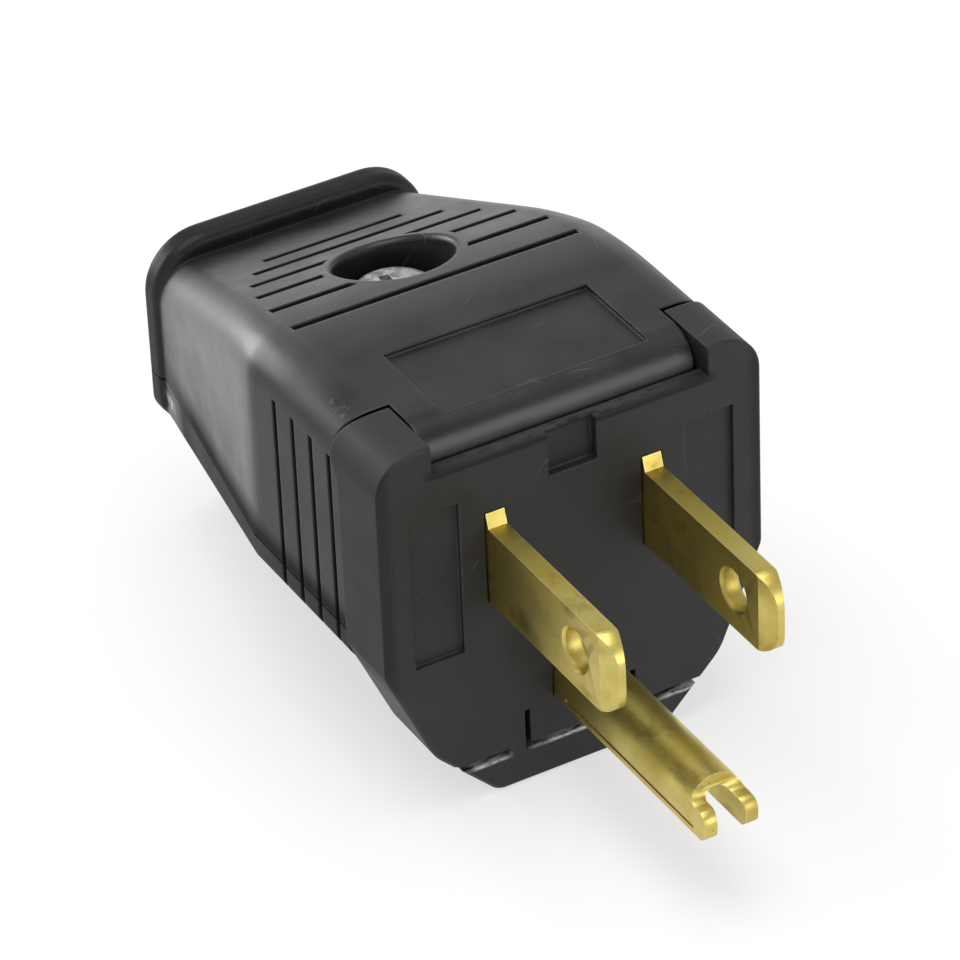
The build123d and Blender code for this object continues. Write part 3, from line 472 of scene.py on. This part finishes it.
@dataclass(frozen=True)
class StampedBrass:
    """Yellow stamped brass, drawn along the blades, with brown tarnish and bright rubbed corners."""

    name: str = "stamped_brass"
    colour: Colour = (0.66, 0.545, 0.165)
    deep: Colour = (0.46, 0.36, 0.075)
    tarnish: Colour = (0.16, 0.115, 0.028)
    bright: Colour = (0.88, 0.79, 0.42)
    roughness: Range = (0.32, 0.48)
    edge_reach: float = 0.16 * MM
    wear_turns: Range = (0.03, 0.3)
    clouds: Mottle = Mottle(240.0, (0.35, 0.7), detail=4.0)
    spots: Mottle = Mottle(1900.0, (0.66, 0.75), share=0.7, detail=3.0, rough=0.65)
    stains: Mottle = Mottle(520.0, (0.56, 0.74), share=0.6, detail=5.0, rough=0.62, stretch=(1.0, 0.55, 1.0))
    drawn: Mottle = Mottle(4200.0, stretch=(1.0, 0.06, 1.0))
    drawn_relief: float = 0.3
    drawn_depth: float = 0.012 * MM
    pit_relief: float = 0.25
    pit_depth: float = 0.03 * MM

    def material(self) -> bpy.types.Material:
        """Builds the material and returns it."""
        shader = Shader(self.name)
        shader.surface.inputs["Metallic"].default_value = 1.0
        clouds = shader.noise(self.clouds)
        colour = shader.blend(shader.share(clouds, self.clouds), self.colour, self.deep)
        spots = shader.noise(self.spots)
        colour = shader.blend(shader.share(spots, self.spots), colour, self.tarnish)
        stains = shader.noise(self.stains)
        colour = shader.blend(shader.share(stains, self.stains), colour, self.tarnish)
        wear = shader.worn_edge(shader.soft_edge(self.edge_reach), self.wear_turns)
        colour = shader.blend(wear, colour, self.bright)
        shader.link(colour, "Color", shader.surface, "Base Color")
        shader.shine(clouds, self.roughness)
        streaks = shader.bump(shader.noise(self.drawn), "Fac", self.drawn_relief, self.drawn_depth)
        pits = shader.bump(spots, "Fac", self.pit_relief, self.pit_depth, streaks)
        shader.link(pits, "Normal", shader.surface, "Normal")
        return shader.material


@dataclass(frozen=True)
class PlatedMetal:
    """Bright plated steel or dyed screw stock, with dull spots and worn corners."""

    name: str
    colour: Colour
    worn: Colour
    spots: Mottle = Mottle(2600.0, (0.62, 0.74), share=0.6, detail=3.0, rough=0.6)
    spot_tone: float = 0.45
    relief: float = 0.2
    relief_depth: float = 0.02 * MM
    roughness: Range = (0.2, 0.38)
    clouds: Mottle = Mottle(700.0, detail=3.0)
    edge_reach: float = 0.18 * MM
    wear_turns: Range = (0.03, 0.3)

    def material(self) -> bpy.types.Material:
        """Builds the material and returns it."""
        shader = Shader(self.name)
        shader.surface.inputs["Metallic"].default_value = 1.0
        clouds = shader.noise(self.clouds)
        wear = shader.worn_edge(shader.soft_edge(self.edge_reach), self.wear_turns)
        colour = shader.blend(wear, self.colour, self.worn)
        spots = shader.noise(self.spots)
        dull = tuple(self.spot_tone * part for part in self.colour)
        colour = shader.blend(shader.share(spots, self.spots), colour, dull)
        shader.link(colour, "Color", shader.surface, "Base Color")
        shader.shine(clouds, self.roughness)
        bump = shader.bump(spots, "Fac", self.relief, self.relief_depth)
        shader.link(bump, "Normal", shader.surface, "Normal")
        return shader.material


@dataclass(frozen=True)
class FibreBoard:
    """Brown pressed fibre of the retaining washer."""

    name: str = "pressed_fibre"
    colour: Colour = (0.2, 0.12, 0.06)
    fleck: Colour = (0.34, 0.24, 0.14)
    roughness: float = 0.7
    fibres: Mottle = Mottle(2400.0, (0.4, 0.65), detail=4.0, stretch=(1.0, 0.3, 1.0))
    relief: float = 0.4
    relief_depth: float = 0.04 * MM

    def material(self) -> bpy.types.Material:
        """Builds the material and returns it."""
        shader = Shader(self.name)
        fibres = shader.noise(self.fibres)
        colour = shader.blend(shader.share(fibres, self.fibres), self.colour, self.fleck)
        shader.link(colour, "Color", shader.surface, "Base Color")
        shader.surface.inputs["Roughness"].default_value = self.roughness
        bump = shader.bump(fibres, "Fac", self.relief, self.relief_depth)
        shader.link(bump, "Normal", shader.surface, "Normal")
        return shader.material


@dataclass(frozen=True)
class EdgeBreak:
    """Small rounding that every moulded or stamped edge has."""

    width: float
    segments: int = 2
    angle: float = math.radians(32)
    join_flats: bool = True
    flat_angle: float = math.radians(0.6)
    weld_reach: float = 0.002 * MM
    normal_weight: int = 80

    def soften(self, node: bpy.types.Object) -> None:
        """Welds the node's triangles and rounds its edges with modifiers.

        Args:
            node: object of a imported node.
        """
        for polygon in node.data.polygons:
            polygon.use_smooth = True
        weld = node.modifiers.new("join_faces", "WELD")
        weld.merge_threshold = self.weld_reach
        if self.join_flats:
            flat = node.modifiers.new("clear_flats", "DECIMATE")
            flat.decimate_type = "DISSOLVE"
            flat.angle_limit = self.flat_angle
        bevel = node.modifiers.new("break_edges", "BEVEL")
        bevel.width = self.width
        bevel.segments = self.segments
        bevel.limit_method = "ANGLE"
        bevel.angle_limit = self.angle
        bevel.use_clamp_overlap = True
        bevel.face_strength_mode = "FSTR_ALL"
        shade = node.modifiers.new("flat_faces", "WEIGHTED_NORMAL")
        shade.mode = "FACE_AREA_WITH_ANGLE"
        shade.weight = self.normal_weight
        shade.use_face_influence = True


def dress(node: bpy.types.Object, material: bpy.types.Material) -> None:
    """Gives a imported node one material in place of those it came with."""
    node.data.materials.clear()
    node.data.materials.append(material)


@dataclass
class Housing:
    """Face block and the two jaws: black mouldings with softly broken edges.

    Heights and widths are in millimetres. The taper is the sides' run towards the middle for each
    millimetre towards the cord.
    """

    edge: EdgeBreak
    half_width: float = 15.5
    lip_top: float = 9.0
    slit_ledge: float = -17.2
    tongue_ledge: float = -17.15
    parting: float = -6.3
    collar_middle: float = 43.6
    collar_shoulder: float = -7.6
    taper: float = -0.157
    face_roughness: Range = (0.44, 0.57)

    def front_burrs_and_glints(self) -> tuple[ScuffAndGlintBox, ...]:
        """Pale specks on the ledges in the snap slits, partly burrs and partly painted reflected light on
        ledges that lie in shade, and a painted highlight along the lip in front of the nose.
        """
        slit = mm(2.2, 1.2, 0.34)
        return (
            # slit ledges: partly burrs, partly painted reflected light on ledges in shade
            ScuffAndGlintBox(mm(-7.8, 0.5, self.slit_ledge), slit, share=0.95, cover=0.75),
            ScuffAndGlintBox(mm(8.4, 0.5, self.slit_ledge), slit, share=0.95, cover=0.75),
            ScuffAndGlintBox(mm(0.0, 0.4, self.tongue_ledge), mm(4.5, 1.2, 0.34), share=0.95, cover=0.9),
            # painted highlight along the lip's top edge
            ScuffAndGlintBox(mm(0.0, 0.9, self.lip_top), mm(14.0, 0.9, 0.3), share=0.13, cover=0.9),
        )

    def upper_scuffs(self) -> tuple[ScuffAndGlintBox, ...]:
        """Rubbed roof corner behind the left ear."""
        return (ScuffAndGlintBox(mm(-13.6, 8.3, 10.6), mm(0.5, 1.6, 0.8), share=0.35, cover=0.35),)

    def lower_pale_spots(self) -> tuple[ScuffAndGlintBox, ...]:
        """Pale specks on the shoulders at the cord end."""
        return (
            ScuffAndGlintBox(mm(-11.9, 40.4, self.collar_shoulder), mm(0.9, 1.3, 0.8), share=0.8, cover=0.6),
            ScuffAndGlintBox(mm(11.9, 40.6, self.collar_shoulder), mm(0.9, 0.8, 0.5), share=0.4, cover=0.4),
        )

    def front_painted_shade(self) -> tuple[PaintedLightZone, ...]:
        """Painted shade on the flanks and lip of the face block: their shine is taken off."""
        half, core = mm(1.2, 6.0, 24.0), (0.5, 0.9, 0.8)
        flanks = (PaintedLightZone(mm(side.value * self.half_width, 3.0, -4.0), half, core, share=0.35) for side in Side)
        lip = PaintedLightZone(mm(0.0, 0.8, self.lip_top), mm(12.0, 1.4, 0.5), (0.92, 0.8, 0.6), share=0.6)
        return *flanks, lip

    def upper_painted_shade(self) -> tuple[PaintedLightZone, ...]:
        """Painted shade in bands along the rim, on the ribbed sides and round the collar of the upper jaw."""
        rim = PaintedLightZone(mm(0.0, 20.0, self.parting), mm(40.0, 24.0, 3.0), (0.9, 0.6, 0.25), share=0.85)
        half, core = mm(2.0, 7.4, 13.0), (0.6, 0.85, 0.5)
        ribs = (PaintedLightZone(mm(side.value * 15.6, 12.6, 2.0), half, core, share=0.32) for side in Side)
        return rim, *ribs, self.collar_painted_shade()

    def lower_painted_shade(self) -> tuple[PaintedLightZone, ...]:
        """Painted shade in bands along the shoulder and round the collar of the lower jaw."""
        half, core = mm(40.0, 19.5, 3.4), (0.9, 0.9, 0.5)
        shoulder = PaintedLightZone(mm(0.0, 19.5, self.parting - 1.0), half, core, share=0.62)
        return shoulder, self.collar_painted_shade()

    def collar_painted_shade(self) -> PaintedLightZone:
        """Painted shade on the collar."""
        return PaintedLightZone(mm(0.0, self.collar_middle, 0.0), mm(40.0, 2.8, 40.0), (0.9, 0.75, 0.9), share=0.52)

    def upper_painted_highlights(self) -> tuple[PaintedLightZone, ...]:
        """Painted highlight on each tapered side and its run-out along the roof edge, and painted light on
        the shaded nose.
        """
        # painted light on the nose, which lies in shade by the lip
        painted_zones = [PaintedLightZone(mm(0.0, 1.7, 9.5), mm(13.0, 0.9, 0.9), (0.8, 0.3, 0.3), share=0.3)]
        for side in Side:
            # painted highlight standing in for light reflected off the tapered side
            side_highlight, slant = mm(side.value * 15.9, 30.0, 6.5), side.value * self.taper
            painted_zones.append(PaintedLightZone(side_highlight, mm(5.2, 11.8, 13.0), (0.72, 0.86, 0.25), share=0.44, slant=slant))
            # painted highlight along the rounded roof edge
            run_out = mm(side.value * 13.4, 18.0, 10.4)
            painted_zones.append(PaintedLightZone(run_out, mm(2.0, 9.0, 2.2), (0.2, 0.1, 0.3), share=0.2))
        return tuple(painted_zones)

    def dress(self, nodes: dict[str, bpy.types.Object]) -> None:
        """Finishes the three mouldings.

        Args:
            nodes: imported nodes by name.
        """
        finishes = {
            "front_block": MouldedPlastic(
                "face_plastic", self.front_burrs_and_glints(), self.front_painted_shade(), roughness=self.face_roughness
            ),
            "upper_jaw": MouldedPlastic(
                "cover_plastic", self.upper_scuffs(), self.upper_painted_shade(), self.upper_painted_highlights()
            ),
            "lower_jaw": MouldedPlastic("tray_plastic", self.lower_pale_spots(), self.lower_painted_shade()),
        }
        for name, finish in finishes.items():
            dress(nodes[name], finish.material())
            self.edge.soften(nodes[name])
            LOG.info("moulding %s", name)


@dataclass
class Contacts:
    """Two flat blades and the hairpin ground pin, stamped from brass sheet."""

    finish: StampedBrass
    blade_edge: EdgeBreak
    pin_edge: EdgeBreak

    def dress(self, nodes: dict[str, bpy.types.Object]) -> None:
        """Finishes the contacts.

        Args:
            nodes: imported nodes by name.
        """
        material = self.finish.material()
        edges = {"line_blade": self.blade_edge, "neutral_blade": self.blade_edge, "ground_pin": self.pin_edge}
        for name, edge in edges.items():
            dress(nodes[name], material)
            edge.soften(nodes[name])
            LOG.info("contact %s", name)


@dataclass
class Fasteners:
    """Terminal screws, clamp screw, its nut and its retaining washer."""

    edge: EdgeBreak

    def dress(self, nodes: dict[str, bpy.types.Object]) -> None:
        """Finishes every fastener in its own metal.

        Args:
            nodes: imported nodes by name.
        """
        finishes = {
            "line_terminal_screw": PlatedMetal("brass_screw", (0.55, 0.42, 0.14), (0.8, 0.7, 0.4)),
            "neutral_terminal_screw": PlatedMetal("nickel_screw", (0.55, 0.54, 0.5), (0.85, 0.84, 0.8)),
            "ground_terminal_screw": PlatedMetal("green_screw", (0.03, 0.2, 0.06), (0.3, 0.42, 0.25)),
            "clamp_screw": PlatedMetal(
                "zinc_screw",
                (0.56, 0.56, 0.55),
                (0.7, 0.7, 0.69),
                spots=Mottle(1300.0, (0.46, 0.62), share=0.9, detail=3.0, rough=0.6),
                relief=1.0,
                roughness=(0.5, 0.66),
            ),
            "clamp_nut": PlatedMetal("zinc_nut", (0.6, 0.6, 0.58), (0.85, 0.85, 0.84)),
        }
        for name, finish in finishes.items():
            dress(nodes[name], finish.material())
            self.edge.soften(nodes[name])
            LOG.info("fastener %s", name)
        dress(nodes["retaining_washer"], FibreBoard().material())
        LOG.info("washer retaining_washer")


@dataclass(frozen=True)
class PhotoCamera:
    """Camera fitted to the blades and the face of the photographed plug."""

    azimuth: float = -28.624
    elevation: float = 34.850
    roll: float = -2.506
    distance: float = 0.4
    focal_pixels: float = 5809.9
    frame_pixels: float = 960.0
    sensor: float = 36.0
    target: Point = mm(-7.409, 0.0, 7.287)
    clip: Range = (0.01, 20.0)

    def build(self) -> bpy.types.Object:
        """Makes the camera the scene's own and returns it."""
        turn, lift, tilt = (math.radians(angle) for angle in (self.azimuth, self.elevation, self.roll))
        level = Vector((math.cos(turn), math.sin(turn), 0.0))
        back = Vector((math.sin(turn) * math.cos(lift), -math.cos(turn) * math.cos(lift), math.sin(lift)))
        upright = back.cross(level)
        right = level * math.cos(tilt) + upright * math.sin(tilt)
        above = upright * math.cos(tilt) - level * math.sin(tilt)
        data = bpy.data.cameras.new("photo_camera")
        data.sensor_width = self.sensor
        data.lens = self.focal_pixels / self.frame_pixels * self.sensor
        data.clip_start, data.clip_end = self.clip
        camera = bpy.data.objects.new("photo_camera", data)
        bpy.context.scene.collection.objects.link(camera)
        axes = Matrix((right, above, back)).transposed().to_4x4()
        camera.matrix_world = Matrix.Translation(Vector(self.target) + back * self.distance) @ axes
        bpy.context.scene.camera = camera
        return camera


@dataclass(frozen=True)
class SoftBox:
    """One square studio lamp aimed at the plug."""

    name: str
    place: Point
    size: float
    watts: float
    aim: Point = (0.0, 0.012, -0.002)

    def build(self) -> None:
        """Adds the lamp to the scene."""
        data = bpy.data.lights.new(self.name, "AREA")
        data.size = self.size
        data.energy = self.watts
        lamp = bpy.data.objects.new(self.name, data)
        bpy.context.scene.collection.objects.link(lamp)
        lamp.location = self.place
        lamp.rotation_euler = (Vector(self.aim) - Vector(self.place)).to_track_quat("-Z", "Y").to_euler()


@dataclass(frozen=True)
class Studio:
    """White floor, even white surround and soft lamps."""

    floor_half: float = 1.5
    floor_colour: Colour = (0.86, 0.86, 0.86)
    floor_roughness: float = 0.9
    floor_glow: float = 0.6
    surround: float = 0.6
    lamps: tuple[SoftBox, ...] = (
        SoftBox("left_rear_box", (-0.17, 0.36, 0.06), size=0.2, watts=0.86),
        SoftBox("right_rear_box", (0.18, 0.38, 0.07), size=0.18, watts=0.09),
        SoftBox("top_box", (-0.05, 0.02, 0.45), size=0.35, watts=1.4),
        SoftBox("front_box", (0.18, -0.42, 0.1), size=0.3, watts=0.7),
    )

    def build(self, level: float) -> None:
        """Adds the floor, the surround and the lamps.

        Args:
            level: height of the floor.
        """
        bpy.ops.object.select_all(action="DESELECT")
        bpy.ops.mesh.primitive_plane_add(size=2 * self.floor_half, location=(0, 0, level))
        floor = bpy.context.object
        floor.name = "studio_floor"
        floor.data.materials.append(self.floor_finish())
        floor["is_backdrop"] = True
        world = bpy.data.worlds.new("studio_surround")
        world.use_nodes = True
        bpy.context.scene.world = world
        sky = world.node_tree.nodes["Background"]
        sky.inputs["Color"].default_value = (1, 1, 1, 1)
        sky.inputs["Strength"].default_value = self.surround
        for lamp in self.lamps:
            lamp.build()
        LOG.info("studio with %d lamps", len(self.lamps))

    def floor_finish(self) -> bpy.types.Material:
        """White floor that also shows as white to the camera and in reflections, and keeps its shadow."""
        shader = Shader("studio_floor")
        shader.surface.inputs["Base Color"].default_value = (*self.floor_colour, 1)
        shader.surface.inputs["Roughness"].default_value = self.floor_roughness
        glow = shader.add("ShaderNodeEmission")
        path = shader.add("ShaderNodeLightPath")
        seen = shader.larger(path, "Is Camera Ray", path, "Is Glossy Ray")
        seen_through = shader.larger(seen, "Value", path, "Is Transmission Ray")
        share = shader.add("ShaderNodeMath", operation="MULTIPLY")
        shader.link(seen_through, "Value", share, 0)
        share.inputs[1].default_value = self.floor_glow
        mix = shader.add("ShaderNodeMixShader")
        shader.link(share, "Value", mix, "Fac")
        shader.link(shader.surface, "BSDF", mix, 1)
        shader.link(glow, "Emission", mix, 2)
        shader.link(mix, "Shader", shader.output, "Surface")
        return shader.material


def main() -> None:
    """Loads the frame, dresses it, and sets the studio and the camera."""
    logging.basicConfig(level=logging.INFO, format="%(name)s: %(message)s")
    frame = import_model()
    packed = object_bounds()
    bpy.context.scene.view_settings.view_transform = "Standard"
    nodes = frame["nodes"]
    Housing(EdgeBreak(0.14 * MM)).dress(nodes)
    blade_edge = EdgeBreak(0.08 * MM, angle=math.radians(14), join_flats=False)
    pin_edge = EdgeBreak(0.1 * MM, angle=math.radians(24))
    Contacts(StampedBrass(), blade_edge, pin_edge).dress(nodes)
    Fasteners(EdgeBreak(0.06 * MM, join_flats=False)).dress(nodes)
    PhotoCamera().build()
    Studio().build(packed[0].z)
    LOG.info("sizes noted")


if __name__ == "__main__":
    main()
